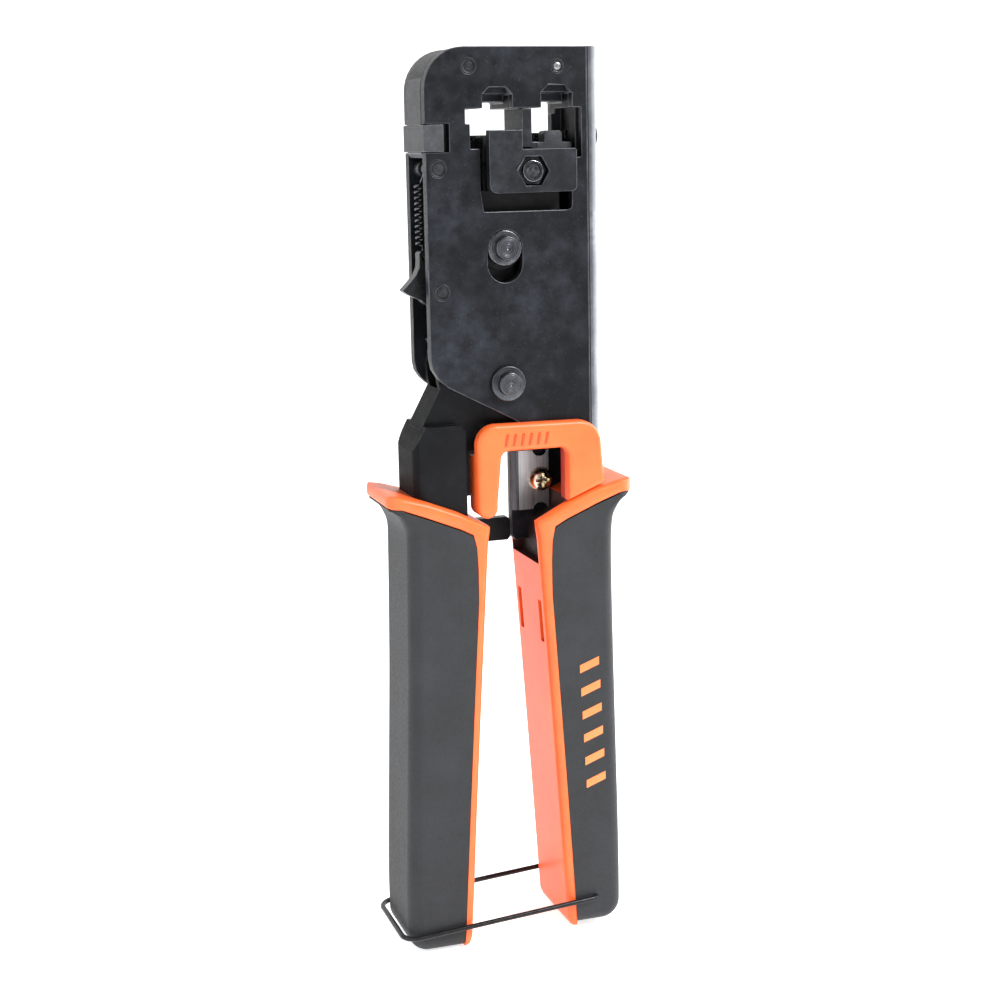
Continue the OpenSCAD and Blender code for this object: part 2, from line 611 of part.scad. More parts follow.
module carriage_screw() put() color(zinc) difference() {
  union() {
    bar(5.65, 43.0, 1.5, -head_hy - 1.8, inner_hy - 0.6);
    bar(5.65, 43.0, 1.5, inner_hy - 2.4, inner_hy);
  }
  slab(inner_hy - 1.4, inner_hy + 1) translate([5.65, 43.0]) circle(r = 0.9, $fn = 6);
}

module drive_pin() put() color(grey) difference() {
  union() {
    bar(0, drive_z, pin_r, -head_hy - 0.5, head_hy + 1.6);
    bar(0, drive_z, 3.6, -head_hy - 0.05, -inner_hy - 0.02);
    bar(0, drive_z, 3.6, inner_hy + 0.02, head_hy + 0.05);
    bar(0, drive_z, 2.45, -head_hy - 2.0, -head_hy - 0.04);
  }
  difference() {
    bar(0, drive_z, 3.2, head_hy + 0.3, head_hy + 1.0);
    bar(0, drive_z, 2.0, head_hy, head_hy + 2);
  }
}

module drive_pin_clip() put() color(zinc) e_clip(drive_z);

// Row of contact blades on a block
module contact_driver(x0, x1, n, top) {
  xm = (x0 + x1) / 2;
  box3([x0, 0.9, 44.42], [x1, 4.7, top - 1.2]);
  box3([x0, 4.25, 44.42], [x1, 4.7, top]);
  for (i = [0:n - 1]) box3([xm + (i - (n - 1) / 2) * 1.02 - 0.2, 1.4, top - 1.3], [xm + (i - (n - 1) / 2) * 1.02 + 0.2, 4.3, top]);
}

module contact_driver_8p() put() color(steel) contact_driver(-7.3, 3.6, 8, 50.3);

module contact_driver_6p() put() color(steel) contact_driver(6.8, 15.6, 6, 50.6);

module strain_pusher_8p() put() color(steel) {
  box3([-3.4, -4.7, 44.42], [3.2, 0.6, 50.0]);
}

module strain_pusher_6p() put() color(steel) {
  box3([6.6, -4.7, 44.42], [15.8, 0.6, 48.7]);
  slab(-4.7, -1.0) polygon([[9.7, 48.6], [13.7, 48.6], [13.7, 50.5], [13.2, 51.0], [10.2, 51.0], [9.7, 50.5]]);
}

// ---- pawl and bail -------------------------------------------------------

module ratchet_pawl() put() color(steel) difference() {
  union() {
    // thumb tab and arm up to the spring
    slab(-pawl_hy, pawl_hy) polygon(concat([[-19.3, 18.7], [-17.7, 17.9], [-16.2, 17.3], [-14.4, 17.0],
      [-12.4, 18.0], [-12.4, 21.0], [-13.9, 24.5]],
      arc(hook_x, hook_z + 0.2, 1.35, 10, 150, 5),
      [[-16.5, 25.6], [-16.6, 24.0], [-17.3, 22.5], [-19.1, 20.5], [-20.2, 19.4]]));
    bar(pawl_x, pawl_z, 3.3, -pawl_hy, pawl_hy);
    // nose, pointing at the pivot
    slab(-pawl_hy, pawl_hy) translate([pawl_x, pawl_z]) rotate(pawl_a + 180) polygon([[0, -2.2], [1.9, -2.2],
      [pawl_d - tooth_r - 0.28, -0.5], [pawl_d - tooth_r - 0.28, 0.5], [1.9, 2.2], [0, 2.2]]);
  }
  bar(pawl_x, pawl_z, 1.6 + run_fit, -9, 9);
  bar(hook_x, hook_z, 0.5, -9, 9, 24);
}

// Crossbar of the bail stands just outside the left grip
cross_x = -26.45;
cross_z = -117.5;
bend = 3.4;
module wire_bail() put() color(black) {
  arm = norm([bail_x - cross_x, bail_z - cross_z]);
  tilt = atan2(bail_z - cross_z, bail_x - cross_x);
  r = wire_d / 2;
  translate([bail_x, 0, bail_z]) rotate([0, -tilt, 0]) {
    for (s = [-1, 1]) {
      // arm
      translate([-arm + bend, s * wire_y, 0]) rotate([0, 90, 0]) cylinder(r = r, h = arm - bend - 1.0, $fn = 24);
      // end turned into the handle
      translate([-1.0, s * (wire_y - 1.0), 0]) rotate([0, 0, s > 0 ? 0 : -90]) rotate_extrude(angle = 90, $fn = 24)
        translate([1.0, 0]) circle(r = r, $fn = 24);
      translate([0, s * (wire_y - 1.0), 0]) rotate([s > 0 ? 90 : -90, 0, 0]) cylinder(r = r, h = wire_y - 1.0 - core_hy + 1.2, $fn = 24);
      // bend to the crossbar
      translate([-arm + bend, s * (wire_y - bend), 0]) rotate([0, 0, s > 0 ? 90 : 180]) rotate_extrude(angle = 90, $fn = 24)
        translate([bend, 0]) circle(r = r, $fn = 24);
    }
    translate([-arm, -(wire_y - bend), 0]) rotate([-90, 0, 0]) cylinder(r = r, h = 2 * (wire_y - bend), $fn = 24);
  }
}

frame_channel();
upper_die_block();
head_rivets();
block_screw();
pivot_pin();
pivot_pin_clip();
spring_anchor_pin();
pawl_pin();
pawl_spring();
strip_guard();
strip_blade();
blade_screw();
right_liner();
right_grip();
grip_inlay();
drive_lever();
ratchet_sector();
sector_rivets();
knee_pin();
pivot_bush();
left_liner();
left_grip();
toggle_link();
die_carriage();
carriage_plate();
carriage_nut();
carriage_screw();
drive_pin();
drive_pin_clip();
contact_driver_8p();
strain_pusher_8p();
contact_driver_6p();
strain_pusher_6p();
ratchet_pawl();
wire_bail();
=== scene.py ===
import bpy
import bmesh
import json
import math
from mathutils import Vector, Matrix, noise


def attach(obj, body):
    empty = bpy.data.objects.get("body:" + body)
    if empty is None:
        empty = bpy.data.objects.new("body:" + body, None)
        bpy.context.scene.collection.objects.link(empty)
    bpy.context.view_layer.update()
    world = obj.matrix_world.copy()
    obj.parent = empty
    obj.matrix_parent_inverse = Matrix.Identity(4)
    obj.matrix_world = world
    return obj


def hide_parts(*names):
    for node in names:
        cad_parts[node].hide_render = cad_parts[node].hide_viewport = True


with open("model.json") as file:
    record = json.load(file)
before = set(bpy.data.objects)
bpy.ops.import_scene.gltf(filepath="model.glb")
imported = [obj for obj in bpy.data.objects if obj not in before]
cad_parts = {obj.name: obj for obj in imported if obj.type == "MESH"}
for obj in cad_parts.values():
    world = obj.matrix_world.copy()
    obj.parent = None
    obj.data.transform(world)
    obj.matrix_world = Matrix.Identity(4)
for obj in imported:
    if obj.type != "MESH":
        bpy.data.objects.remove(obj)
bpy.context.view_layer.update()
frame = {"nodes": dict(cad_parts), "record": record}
scene = bpy.context.scene
MM = 0.001
LIFT = 121.5
NODES = frame["nodes"]
BODY = {n: b for b, ns in frame["record"]["behaviour"]["bodies"].items() for n in ns}


def P(x, y, z):
    """Design frame in mm (origin on the main pivot) to the row frame in metres."""
    return Vector((x * MM, y * MM, (z + LIFT) * MM))


# ------------------------------------------------------------- camera
def set_camera():
    yaw, pitch, roll = math.radians(18.27), math.radians(11.13), math.radians(-1.17)
    fwd = Vector((math.sin(yaw), math.cos(yaw), 0))
    right = Vector((math.cos(yaw), -math.sin(yaw), 0))
    up = Vector((0, 0, 1))
    fwd2 = fwd * math.cos(pitch) - up * math.sin(pitch)
    up2 = up * math.cos(pitch) + fwd * math.sin(pitch)
    right3 = right * math.cos(roll) + up2 * math.sin(roll)
    up3 = up2 * math.cos(roll) - right * math.sin(roll)
    cam = bpy.data.objects.new("camera", bpy.data.cameras.new("camera"))
    scene.collection.objects.link(cam)
    m = Matrix((right3, up3, -fwd2)).transposed().to_4x4()
    m.translation = P(-117.75, -357.35, 48.1)
    cam.matrix_world = m
    cam.data.sensor_width = 36.0
    cam.data.lens = 64.8
    cam.data.clip_start = 0.01
    scene.camera = cam
    return cam


set_camera()


# ------------------------------------------------------------- node graph helpers
class Mat:
    """A small helper round a node tree, so that each material stays readable."""

    def __init__(self, name):
        self.m = bpy.data.materials.new(name)
        self.m.use_nodes = True
        self.t = self.m.node_tree
        self.b = next(n for n in self.t.nodes if n.type == "BSDF_PRINCIPLED")
        self.out = next(n for n in self.t.nodes if n.type == "OUTPUT_MATERIAL")
        self.co = self.t.nodes.new("ShaderNodeTexCoord").outputs["Object"]

    def n(self, kind, **kw):
        node = self.t.nodes.new(kind)
        for k, v in kw.items():
            if hasattr(node, k):
                setattr(node, k, v)
            else:
                node.inputs[k.replace("_", " ")].default_value = v
        return node

    def link(self, a, b):
        self.t.links.new(a, b)

    def scaled(self, s):
        m = self.n("ShaderNodeMapping")
        m.inputs["Scale"].default_value = s if hasattr(s, "__len__") else (s, s, s)
        self.link(self.co, m.inputs["Vector"])
        return m.outputs["Vector"]

    def noise(self, scale, detail=4.0, rough=0.55, vec=None, distortion=0.0):
        n = self.n("ShaderNodeTexNoise")
        n.inputs["Scale"].default_value = 1.0
        n.inputs["Detail"].default_value = detail
        n.inputs["Roughness"].default_value = rough
        n.inputs["Distortion"].default_value = distortion
        self.link(self.scaled(scale) if vec is None else vec, n.inputs["Vector"])
        return n.outputs["Fac"]

    def voronoi(self, scale, feature="F1"):
        n = self.n("ShaderNodeTexVoronoi")
        n.feature = feature
        n.inputs["Scale"].default_value = 1.0
        self.link(self.scaled(scale), n.inputs["Vector"])
        return n.outputs["Distance"]

    def ramp(self, fac, stops, interp="LINEAR"):
        r = self.n("ShaderNodeValToRGB")
        r.color_ramp.interpolation = interp
        els = r.color_ramp.elements
        while len(els) < len(stops):
            els.new(0.5)
        for e, (p, c) in zip(els, stops):
            e.position = p
            e.color = (c, c, c, 1) if not hasattr(c, "__len__") else (*c, 1)
        self.link(fac, r.inputs["Fac"])
        return r.outputs["Color"]

    def maprange(self, fac, a, b, c, d):
        r = self.n("ShaderNodeMapRange")
        for k, v in zip(("From Min", "From Max", "To Min", "To Max"), (a, b, c, d)):
            r.inputs[k].default_value = v
        self.link(fac, r.inputs["Value"])
        return r.outputs["Result"]

    def mix(self, fac, a, b, blend="MIX"):
        r = self.n("ShaderNodeMix", data_type="RGBA", blend_type=blend)
        if hasattr(fac, "links"):
            self.link(fac, r.inputs["Factor"])
        else:
            r.inputs["Factor"].default_value = fac
        for sock, v in (("A", a), ("B", b)):
            s = [i for i in r.inputs if i.name == sock and i.type == "RGBA"][0]
            if hasattr(v, "links"):
                self.link(v, s)
            else:
                s.default_value = (*v, 1)
        return [o for o in r.outputs if o.type == "RGBA"][0]

    def math(self, op, a, b=None):
        r = self.n("ShaderNodeMath", operation=op)
        for i, v in enumerate((a, b)):
            if v is None:
                continue
            if hasattr(v, "links"):
                self.link(v, r.inputs[i])
            else:
                r.inputs[i].default_value = v
        return r.outputs[0]

    def bump(self, height, strength, distance):
        b = self.n("ShaderNodeBump")
        b.inputs["Strength"].default_value = strength
        b.inputs["Distance"].default_value = distance
        self.link(height, b.inputs["Height"])
        self.link(b.outputs["Normal"], self.b.inputs["Normal"])

    def set(self, **kw):
        for k, v in kw.items():
            s = self.b.inputs[k.replace("_", " ")]
            if hasattr(v, "links"):
                self.link(v, s)
            else:
                s.default_value = (*v, 1) if s.type == "RGBA" else v
        return self


MATS = {}


def oxide(name, dark, light, rough=(0.34, 0.56), metallic=0.75, grain=900, blotch=55, bump=0.10, scratch=True):
    """Black-oxide steel: mottled blue-grey bloom, fine pitting, faint scratches."""
    k = Mat(name)
    big = k.noise(blotch, 5, 0.6)
    mid = k.noise(blotch * 6, 6, 0.65)
    fine = k.noise(grain * 2.4, 3, 0.6)
    bloom = k.math("MULTIPLY", k.maprange(big, 0.38, 0.68, 0.0, 1.0), k.maprange(mid, 0.35, 0.7, 0.25, 1.0))
    col = k.mix(bloom, dark, light)
    speck = k.ramp(k.noise(grain, 2, 0.5), [(0.0, 0.0), (0.64, 0.0), (0.72, 1.0)])
    col = k.mix(k.math("MULTIPLY", speck, 0.22), col, tuple(min(1, c * 1.6) for c in light))
    r = k.maprange(mid, 0.3, 0.75, rough[0], rough[1])
    if scratch:
        s = k.noise((60, 60, 2600), 2, 0.5)
        r = k.math("ADD", r, k.maprange(s, 0.55, 0.75, 0.0, 0.06))
    k.set(Base_Color=col, Metallic=metallic, Roughness=r)
    k.bump(k.math("ADD", k.math("MULTIPLY", fine, 0.6), k.math("MULTIPLY", mid, 0.6)), bump, 0.0002)
    MATS[name] = k.m
    return k.m


def turned(name, dark, light, cx, cz, pitch=0.16, rough=(0.22, 0.42), metallic=0.9):
    """Lathe-turned steel: rings round an axis along Y at cx, cz (row frame, metres)."""
    k = Mat(name)
    sep = k.n("ShaderNodeSeparateXYZ")
    k.link(k.co, sep.inputs[0])
    dx = k.math("SUBTRACT", sep.outputs["X"], cx)
    dz = k.math("SUBTRACT", sep.outputs["Z"], cz)
    rad = k.math("SQRT", k.math("ADD", k.math("MULTIPLY", dx, dx), k.math("MULTIPLY", dz, dz)))
    w = k.math("SINE", k.math("MULTIPLY", rad, 2 * math.pi / (pitch * MM)))
    n = k.noise(1400, 3, 0.6)
    col = k.mix(k.maprange(k.noise(260, 4, 0.6), 0.35, 0.7, 0, 1), dark, light)
    r = k.maprange(k.math("ADD", k.math("MULTIPLY", w, 0.25), n), 0.0, 1.1, rough[0], rough[1])
    k.set(Base_Color=col, Metallic=metallic, Roughness=r)
    k.bump(k.math("ADD", k.math("MULTIPLY", w, 0.5), k.math("MULTIPLY", n, 0.4)), 0.25, 0.00004)
    MATS[name] = k.m
    return k.m


def brushed(name, dark, light, stretch=(2600, 2600, 90), rough=(0.22, 0.4), metallic=1.0, bump=0.12):
    """Ground steel with fine parallel lines."""
    k = Mat(name)
    lines = k.noise(stretch, 4, 0.6)
    blot = k.noise(220, 4, 0.6)
    col = k.mix(k.maprange(lines, 0.35, 0.68, 0, 1), dark, light)
    col = k.mix(k.maprange(blot, 0.5, 0.72, 0, 0.35), col, tuple(c * 0.6 for c in dark))
    k.set(Base_Color=col, Metallic=metallic, Roughness=k.maprange(lines, 0.3, 0.7, rough[0], rough[1]))
    k.bump(lines, bump, 0.00005)
    MATS[name] = k.m
    return k.m


def moulded(name, base, shade, rough=(0.34, 0.46), grain=2600, bump=0.12, coat=0.0, spec=0.5, sheen=0.0, sub=0.0, blotch=90):
    """Moulded plastic: faint flow mottling, fine spark-eroded grain."""
    k = Mat(name)
    flow = k.noise(blotch, 4, 0.6)
    g = k.noise(grain, 3, 0.6)
    sc = k.noise((700, 700, 60), 3, 0.5)
    col = k.mix(k.maprange(flow, 0.35, 0.7, 0.0, 1.0), base, shade)
    r = k.math("ADD", k.maprange(g, 0.3, 0.7, rough[0], rough[1]), k.maprange(sc, 0.6, 0.8, 0.0, 0.07))
    k.set(Base_Color=col, Roughness=r, Specular_IOR_Level=spec, Coat_Weight=coat, Sheen_Weight=sheen)
    if sub:
        k.set(Subsurface_Weight=sub, Subsurface_Radius=(0.002, 0.0008, 0.0004))
        k.b.inputs["Subsurface Scale"].default_value = 1.0
    k.bump(k.math("ADD", g, k.math("MULTIPLY", flow, 0.6)), bump, 0.00012)
    MATS[name] = k.m
    return k.m


oxide("plate", (0.0080, 0.0086, 0.0105), (0.040, 0.047, 0.060), rough=(0.36, 0.56), grain=2100, blotch=62)
oxide("plate_edge", (0.012, 0.0125, 0.014), (0.034, 0.036, 0.041), rough=(0.38, 0.55), blotch=220, grain=2500)
# lighter steel for rolled edges: partly worn metal and partly a painted edge highlight
oxide("rim", (0.055, 0.058, 0.066), (0.15, 0.155, 0.17), rough=(0.3, 0.45), blotch=300, grain=2500)
oxide("face_plate", (0.0150, 0.0160, 0.0190), (0.046, 0.051, 0.062), rough=(0.38, 0.55), blotch=120, grain=2400)
# near-black steel for the inner faces of the die block and the carriage: painted shade in the nests, notch and window
oxide("cavity_shade", (0.008, 0.008, 0.009), (0.022, 0.022, 0.024), rough=(0.45, 0.6), blotch=200, grain=2500)
oxide("block", (0.040, 0.042, 0.047), (0.100, 0.104, 0.113), rough=(0.42, 0.6), blotch=160, grain=2500, bump=0.3)
oxide("lug", (0.046, 0.048, 0.053), (0.090, 0.093, 0.101), rough=(0.45, 0.6), blotch=260, grain=2600, bump=0.3)
oxide("lever", (0.0045, 0.0048, 0.0058), (0.012, 0.0130, 0.0155), rough=(0.34, 0.5), blotch=80, grain=2400)
# darker, duller steel for the lever's left-facing faces: painted shade on that side
oxide("web_shade", (0.0035, 0.0036, 0.0040), (0.008, 0.0085, 0.0095), rough=(0.62, 0.78), metallic=0.15, blotch=80, grain=2400)
MATS["web_shade"].node_tree.nodes["Principled BSDF"].inputs["Specular IOR Level"].default_value = 0.15
oxide("small_oxide", (0.020, 0.021, 0.024), (0.07, 0.073, 0.08), rough=(0.3, 0.5), blotch=400, grain=3200)
oxide("inner_steel", (0.014, 0.014, 0.015), (0.038, 0.038, 0.041), rough=(0.4, 0.6), blotch=300, grain=3200)
oxide("wire", (0.010, 0.010, 0.011), (0.030, 0.030, 0.033), rough=(0.25, 0.4), metallic=0.6, blotch=500, grain=3000)
turned("turn_pivot", (0.038, 0.041, 0.047), (0.11, 0.115, 0.128), 0.0, LIFT * MM, pitch=0.42)
turned("turn_drive", (0.040, 0.043, 0.050), (0.12, 0.125, 0.14), 0.0, (LIFT + 27.7) * MM, pitch=0.55)
brushed("bright", (0.42, 0.425, 0.435), (0.60, 0.605, 0.615), rough=(0.38, 0.5))
brushed("bevel_dark", (0.06, 0.06, 0.065), (0.12, 0.12, 0.13), rough=(0.3, 0.45))
# lighter, glossier steel for the frame's right-hand fold: a painted highlight where the fold catches the side light
oxide("fold", (0.105, 0.112, 0.125), (0.21, 0.218, 0.235), rough=(0.30, 0.42), metallic=0.9, grain=2400, blotch=120)
# bright bare steel: worn on the middle of one rivet, and a painted highlight on the nut's chamfer ring
brushed("bright_wear_and_highlight", (0.34, 0.34, 0.35), (0.60, 0.60, 0.61), stretch=(1500, 1500, 1500), rough=(0.25, 0.4))
brushed("spring_wire", (0.05, 0.05, 0.055), (0.15, 0.15, 0.16), stretch=(1800, 1800, 1800), rough=(0.25, 0.4))
brushed("zinc", (0.42, 0.42, 0.43), (0.66, 0.66, 0.68), stretch=(1500, 1500, 1500), rough=(0.22, 0.38))
brushed("brass", (0.70, 0.63, 0.44), (0.92, 0.87, 0.70), stretch=(1400, 1400, 1400), rough=(0.15, 0.30))
brushed("bronze", (0.35, 0.22, 0.10), (0.55, 0.37, 0.18), stretch=(1400, 1400, 1400), rough=(0.3, 0.45))
moulded("orange", (0.93, 0.150, 0.030), (0.87, 0.118, 0.021), rough=(0.36, 0.46), sub=0.03)
# darker orange: painted shade on the guard's lip over the plate's edge
moulded("orange_shade", (0.50, 0.028, 0.008), (0.40, 0.020, 0.006), rough=(0.4, 0.5))
# near-black plastic: painted shade inside the right liner's pocket
moulded("pocket_shade", (0.035, 0.010, 0.007), (0.022, 0.007, 0.005), rough=(0.5, 0.6))
# darker orange for the raised bars: painted shade of the embossed lettering
moulded("bar_orange", (0.80, 0.055, 0.012), (0.70, 0.045, 0.010), rough=(0.4, 0.5))
moulded("rubber", (0.0125, 0.0135, 0.0155), (0.019, 0.021, 0.0245), rough=(0.52, 0.66), grain=1900, bump=0.35, spec=0.4)
moulded("inlay", (0.92, 0.24, 0.07), (0.84, 0.19, 0.045), rough=(0.45, 0.55))


# ------------------------------------------------------------- mesh helpers
def new_object(name, mesh):
    o = bpy.data.objects.new(name, mesh)
    scene.collection.objects.link(o)
    return o


def applied(o):
    """Bakes the modifiers of o into its mesh."""
    dg = bpy.context.evaluated_depsgraph_get()
    dg.update()
    me = bpy.data.meshes.new_from_object(o.evaluated_get(dg), preserve_all_data_layers=True, depsgraph=dg)
    old = o.data
    o.modifiers.clear()
    o.data = me
    if old.users == 0:
        bpy.data.meshes.remove(old)
    return o


def place(o, node, *more, mats=("plate",)):
    body = BODY[node]
    if not o.data.materials:
        for m in mats:
            o.data.materials.append(MATS[m])
    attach(o, body)
    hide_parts(node, *more)
    return o


def soften(node, mats, width=0.12, segs=2, angle=28.0, edge_mat=None, edge_test=None, name=None, put=True):
    """A copy of a CAD node with its edges rolled over, as rubbed or moulded edges are.
    edge_test gives each face its place in mats, edge_mat is the place for the rolled edges; a lighter material there is
    partly wear and partly a painted edge highlight."""
    src = NODES[node].data
    bm = bmesh.new()
    bm.from_mesh(src)
    bmesh.ops.remove_doubles(bm, verts=bm.verts, dist=2e-6)
    bmesh.ops.dissolve_limit(bm, angle_limit=math.radians(0.6), verts=bm.verts, edges=bm.edges, delimit=set())
    bmesh.ops.recalc_face_normals(bm, faces=bm.faces)
    for f in bm.faces:
        f.smooth = True
        f.material_index = 0
        if edge_test is not None:
            f.material_index = int(edge_test(f))
    me = bpy.data.meshes.new(name or node + "_skin")
    bm.to_mesh(me)
    bm.free()
    o = new_object(name or node + "_skin", me)
    for m in mats:
        me.materials.append(MATS[m])
    b = o.modifiers.new("bevel", "BEVEL")
    b.width = width * MM
    b.segments = segs
    b.limit_method = "ANGLE"
    b.angle_limit = math.radians(angle)
    b.use_clamp_overlap = False
    b.harden_normals = False
    b.miter_outer = "MITER_ARC"
    if edge_mat is not None:
        b.material = edge_mat
    w = o.modifiers.new("normals", "WEIGHTED_NORMAL")
    w.keep_sharp = True
    w.weight = 80
    applied(o)
    if put:
        place(o, node)
    return o


def side_face(f):
    return abs(f.normal.y) < 0.7


def arc(cx, cz, r, a0, a1, n):
    return [(cx + r * math.cos(math.radians(a0 + (a1 - a0) * i / n)),
             cz + r * math.sin(math.radians(a0 + (a1 - a0) * i / n))) for i in range(n + 1)]


def spline(pts, n):
    """Smooth curve through the points, n steps for each span."""
    out = []
    for i in range(len(pts) - 1):
        p0, p1, p2, p3 = pts[max(0, i - 1)], pts[i], pts[i + 1], pts[min(len(pts) - 1, i + 2)]
        for k in range(n):
            t = k / n
            q = []
            for a in (0, 1):
                q.append(0.5 * (2 * p1[a] + (p2[a] - p0[a]) * t + (2 * p0[a] - 5 * p1[a] + 4 * p2[a] - p3[a]) * t * t
                                + (3 * p1[a] - p0[a] - 3 * p2[a] + p3[a]) * t ** 3))
            out.append(tuple(q))
    return out + [tuple(pts[-1])]


def inset(pts, w, d):
    """Moves each edge of a counter-clockwise outline inwards by d times its own weight."""
    n = len(pts)
    out = []
    for k in range(n):
        p0, p, p1 = pts[k - 1], pts[k], pts[(k + 1) % n]
        e0, e1 = (p[0] - p0[0], p[1] - p0[1]), (p1[0] - p[0], p1[1] - p[1])
        l0, l1 = math.hypot(*e0) or 1e-9, math.hypot(*e1) or 1e-9
        n0, n1 = (-e0[1] / l0, e0[0] / l0), (-e1[1] / l1, e1[0] / l1)
        d0, d1 = d * w[k - 1], d * w[k]
        det = n0[0] * n1[1] - n0[1] * n1[0]
        if abs(det) < 0.2:
            m = (d0 + d1) / 2
            ax, az = (n0[0] + n1[0]) / 2 * m, (n0[1] + n1[1]) / 2 * m
        else:
            ax = (d0 * n1[1] - d1 * n0[1]) / det
            az = (n0[0] * d1 - n1[0] * d0) / det
            far = math.hypot(ax, az)
            if far > 1.6 * max(d0, d1, 1e-9):
                ax, az = ax * 1.6 * max(d0, d1) / far, az * 1.6 * max(d0, d1) / far
        out.append((p[0] + ax, p[1] + az))
    return out


def finish_mesh(name, bm, mats, sharp=32.0, weighted=True):
    bmesh.ops.recalc_face_normals(bm, faces=bm.faces)
    for f in bm.faces:
        f.smooth = True
    me = bpy.data.meshes.new(name)
    bm.to_mesh(me)
    bm.free()
    for m in mats:
        me.materials.append(MATS[m])
    me.set_sharp_from_angle(angle=math.radians(sharp))
    o = new_object(name, me)
    if weighted:
        w = o.modifiers.new("normals", "WEIGHTED_NORMAL")
        w.keep_sharp = True
        w.weight = 70
        applied(o)
    return o


def pillow(name, pts, y0, y1, r0, mats, w=None, r1=None, m=6, mirror=False, sharp=32.0, extra=(), reach=None):
    """Slab between two Y planes whose face edges are rolled over with a round of radius r."""
    w = w or [1.0] * len(pts)
    r1 = r0 if r1 is None else r1
    levels = []
    for j in range(m + 1):
        t = math.radians(90.0 * j / m)
        levels.append((y0 + r0 * (1 - math.cos(t)), r0 * (1 - math.sin(t))))
    for j in range(m + 1):
        t = math.radians(90.0 * (m - j) / m)
        levels.append((y1 - r1 * (1 - math.cos(t)), r1 * (1 - math.sin(t))))
    levels = sorted(levels + [(y, 0.0) for y in extra])
    bm = bmesh.new()
    rings = []
    sx = -1 if mirror else 1
    for y, d in levels:
        ring = inset(pts, w, d)
        if reach:
            ring = [(min(x, reach(y) - 0.02 * k / len(ring)), z) for k, (x, z) in enumerate(ring)]
        rings.append([bm.verts.new(P(sx * x, y, z)) for x, z in ring])
    for a, b in zip(rings, rings[1:]):
        for k in range(len(a)):
            k2 = (k + 1) % len(a)
            bm.faces.new((a[k], a[k2], b[k2], b[k]))
    bm.faces.new(rings[0][::-1])
    bm.faces.new(rings[-1])
    return finish_mesh(name, bm, mats, sharp)


def lathe(name, prof, cx, cz, mats, seg=64, sharp=38.0, mat_at=None):
    """Revolves (radius, y) points round an axis along Y at cx, cz."""
    bm = bmesh.new()
    rings = []
    for i, (r, y) in enumerate(prof):
        if i == len(prof) - 1 and (r, y) == prof[0]:
            rings.append(rings[0])
        elif r < 1e-6:
            rings.append([bm.verts.new(P(cx, y, cz))])
        else:
            rings.append([bm.verts.new(P(cx + r * math.cos(2 * math.pi * k / seg), y, cz + r * math.sin(2 * math.pi * k / seg)))
                          for k in range(seg)])
    for i, (a, b) in enumerate(zip(rings, rings[1:])):
        for k in range(seg):
            k2 = (k + 1) % seg
            if len(a) == 1:
                f = bm.faces.new((a[0], b[k2], b[k]))
            elif len(b) == 1:
                f = bm.faces.new((a[k], a[k2], b[0]))
            else:
                f = bm.faces.new((a[k], a[k2], b[k2], b[k]))
            if mat_at and mat_at(i):
                f.material_index = 1
    return finish_mesh(name, bm, mats, sharp, weighted=False)


def tube(name, path, r, mats, seg=14):
    """Round wire along a list of design points."""
    pts = [Vector(p) for p in path]
    bm = bmesh.new()
    rings = []
    prev = None
    for i, p in enumerate(pts):
        t = (pts[min(i + 1, len(pts) - 1)] - pts[max(i - 1, 0)]).normalized()
        if prev is None:
            u = t.orthogonal().normalized()
        else:
            u = (prev - t * prev.dot(t)).normalized()
        prev = u
        v = t.cross(u)
        rings.append([bm.verts.new(P(*(p + (u * math.cos(2 * math.pi * k / seg) + v * math.sin(2 * math.pi * k / seg)) * r)))
                      for k in range(seg)])
    for a, b in zip(rings, rings[1:]):
        for k in range(seg):
            k2 = (k + 1) % seg
            bm.faces.new((a[k], a[k2], b[k2], b[k]))
    bm.faces.new(rings[0][::-1])
    bm.faces.new(rings[-1])
    return finish_mesh(name, bm, mats, 50.0, weighted=False)


def cut(o, boxes):
    """Subtracts boxes, given by two design corners each, from an object."""
    for i, (a, b) in enumerate(boxes):
        bm = bmesh.new()
        bmesh.ops.create_cube(bm, size=1.0)
        for v in bm.verts:
            v.co = P(*[(a[j] + b[j]) / 2 + v.co[j] * (b[j] - a[j]) for j in range(3)])
        me = bpy.data.meshes.new("cutter")
        bm.to_mesh(me)
        bm.free()
        c = new_object("cutter", me)
        m = o.modifiers.new("cut", "BOOLEAN")
        m.operation = "DIFFERENCE"
        m.solver = "EXACT"
        m.object = c
        applied(o)
        bpy.data.objects.remove(c)
        bpy.data.meshes.remove(me)
    return o


def join(name, objs):
    """Joins meshes that are one moulded or assembled piece of the picture."""
    bm = bmesh.new()
    mats = []
    for o in objs:
        base = []
        for m in o.data.materials:
            if m not in mats:
                mats.append(m)
            base.append(mats.index(m))
        tmp = bmesh.new()
        tmp.from_mesh(o.data)
        for f in tmp.faces:
            f.material_index = base[f.material_index] if base else 0
        me = bpy.data.meshes.new("tmp")
        tmp.to_mesh(me)
        tmp.free()
        bm.from_mesh(me)
        bpy.data.meshes.remove(me)
    me = bpy.data.meshes.new(name)
    bm.to_mesh(me)
    bm.free()
    for m in mats:
        me.materials.append(m)
    me.set_sharp_from_angle(angle=math.radians(35))
    o2 = new_object(name, me)
    for o in objs:
        old = o.data
        bpy.data.objects.remove(o)
        if old.users == 0:
            bpy.data.meshes.remove(old)
    return o2


def xin(z):
    """Inner face of a handle at height z, distance from the middle."""
    return 5.8 + (-z - 37) * 0.068 - 0.4 * (z + 37) ** 2 / 7056.0


# ------------------------------------------------------------- handles
def plan(tip):
    """Rounded corners of a flange seen from above: its reach sideways at depth y."""
    def reach(y):
        t = max(0.0, min(3.0, abs(y) - 7.2))
        return tip - 3.0 + math.sqrt(max(0.0, 9.0 - t * t))
    return reach


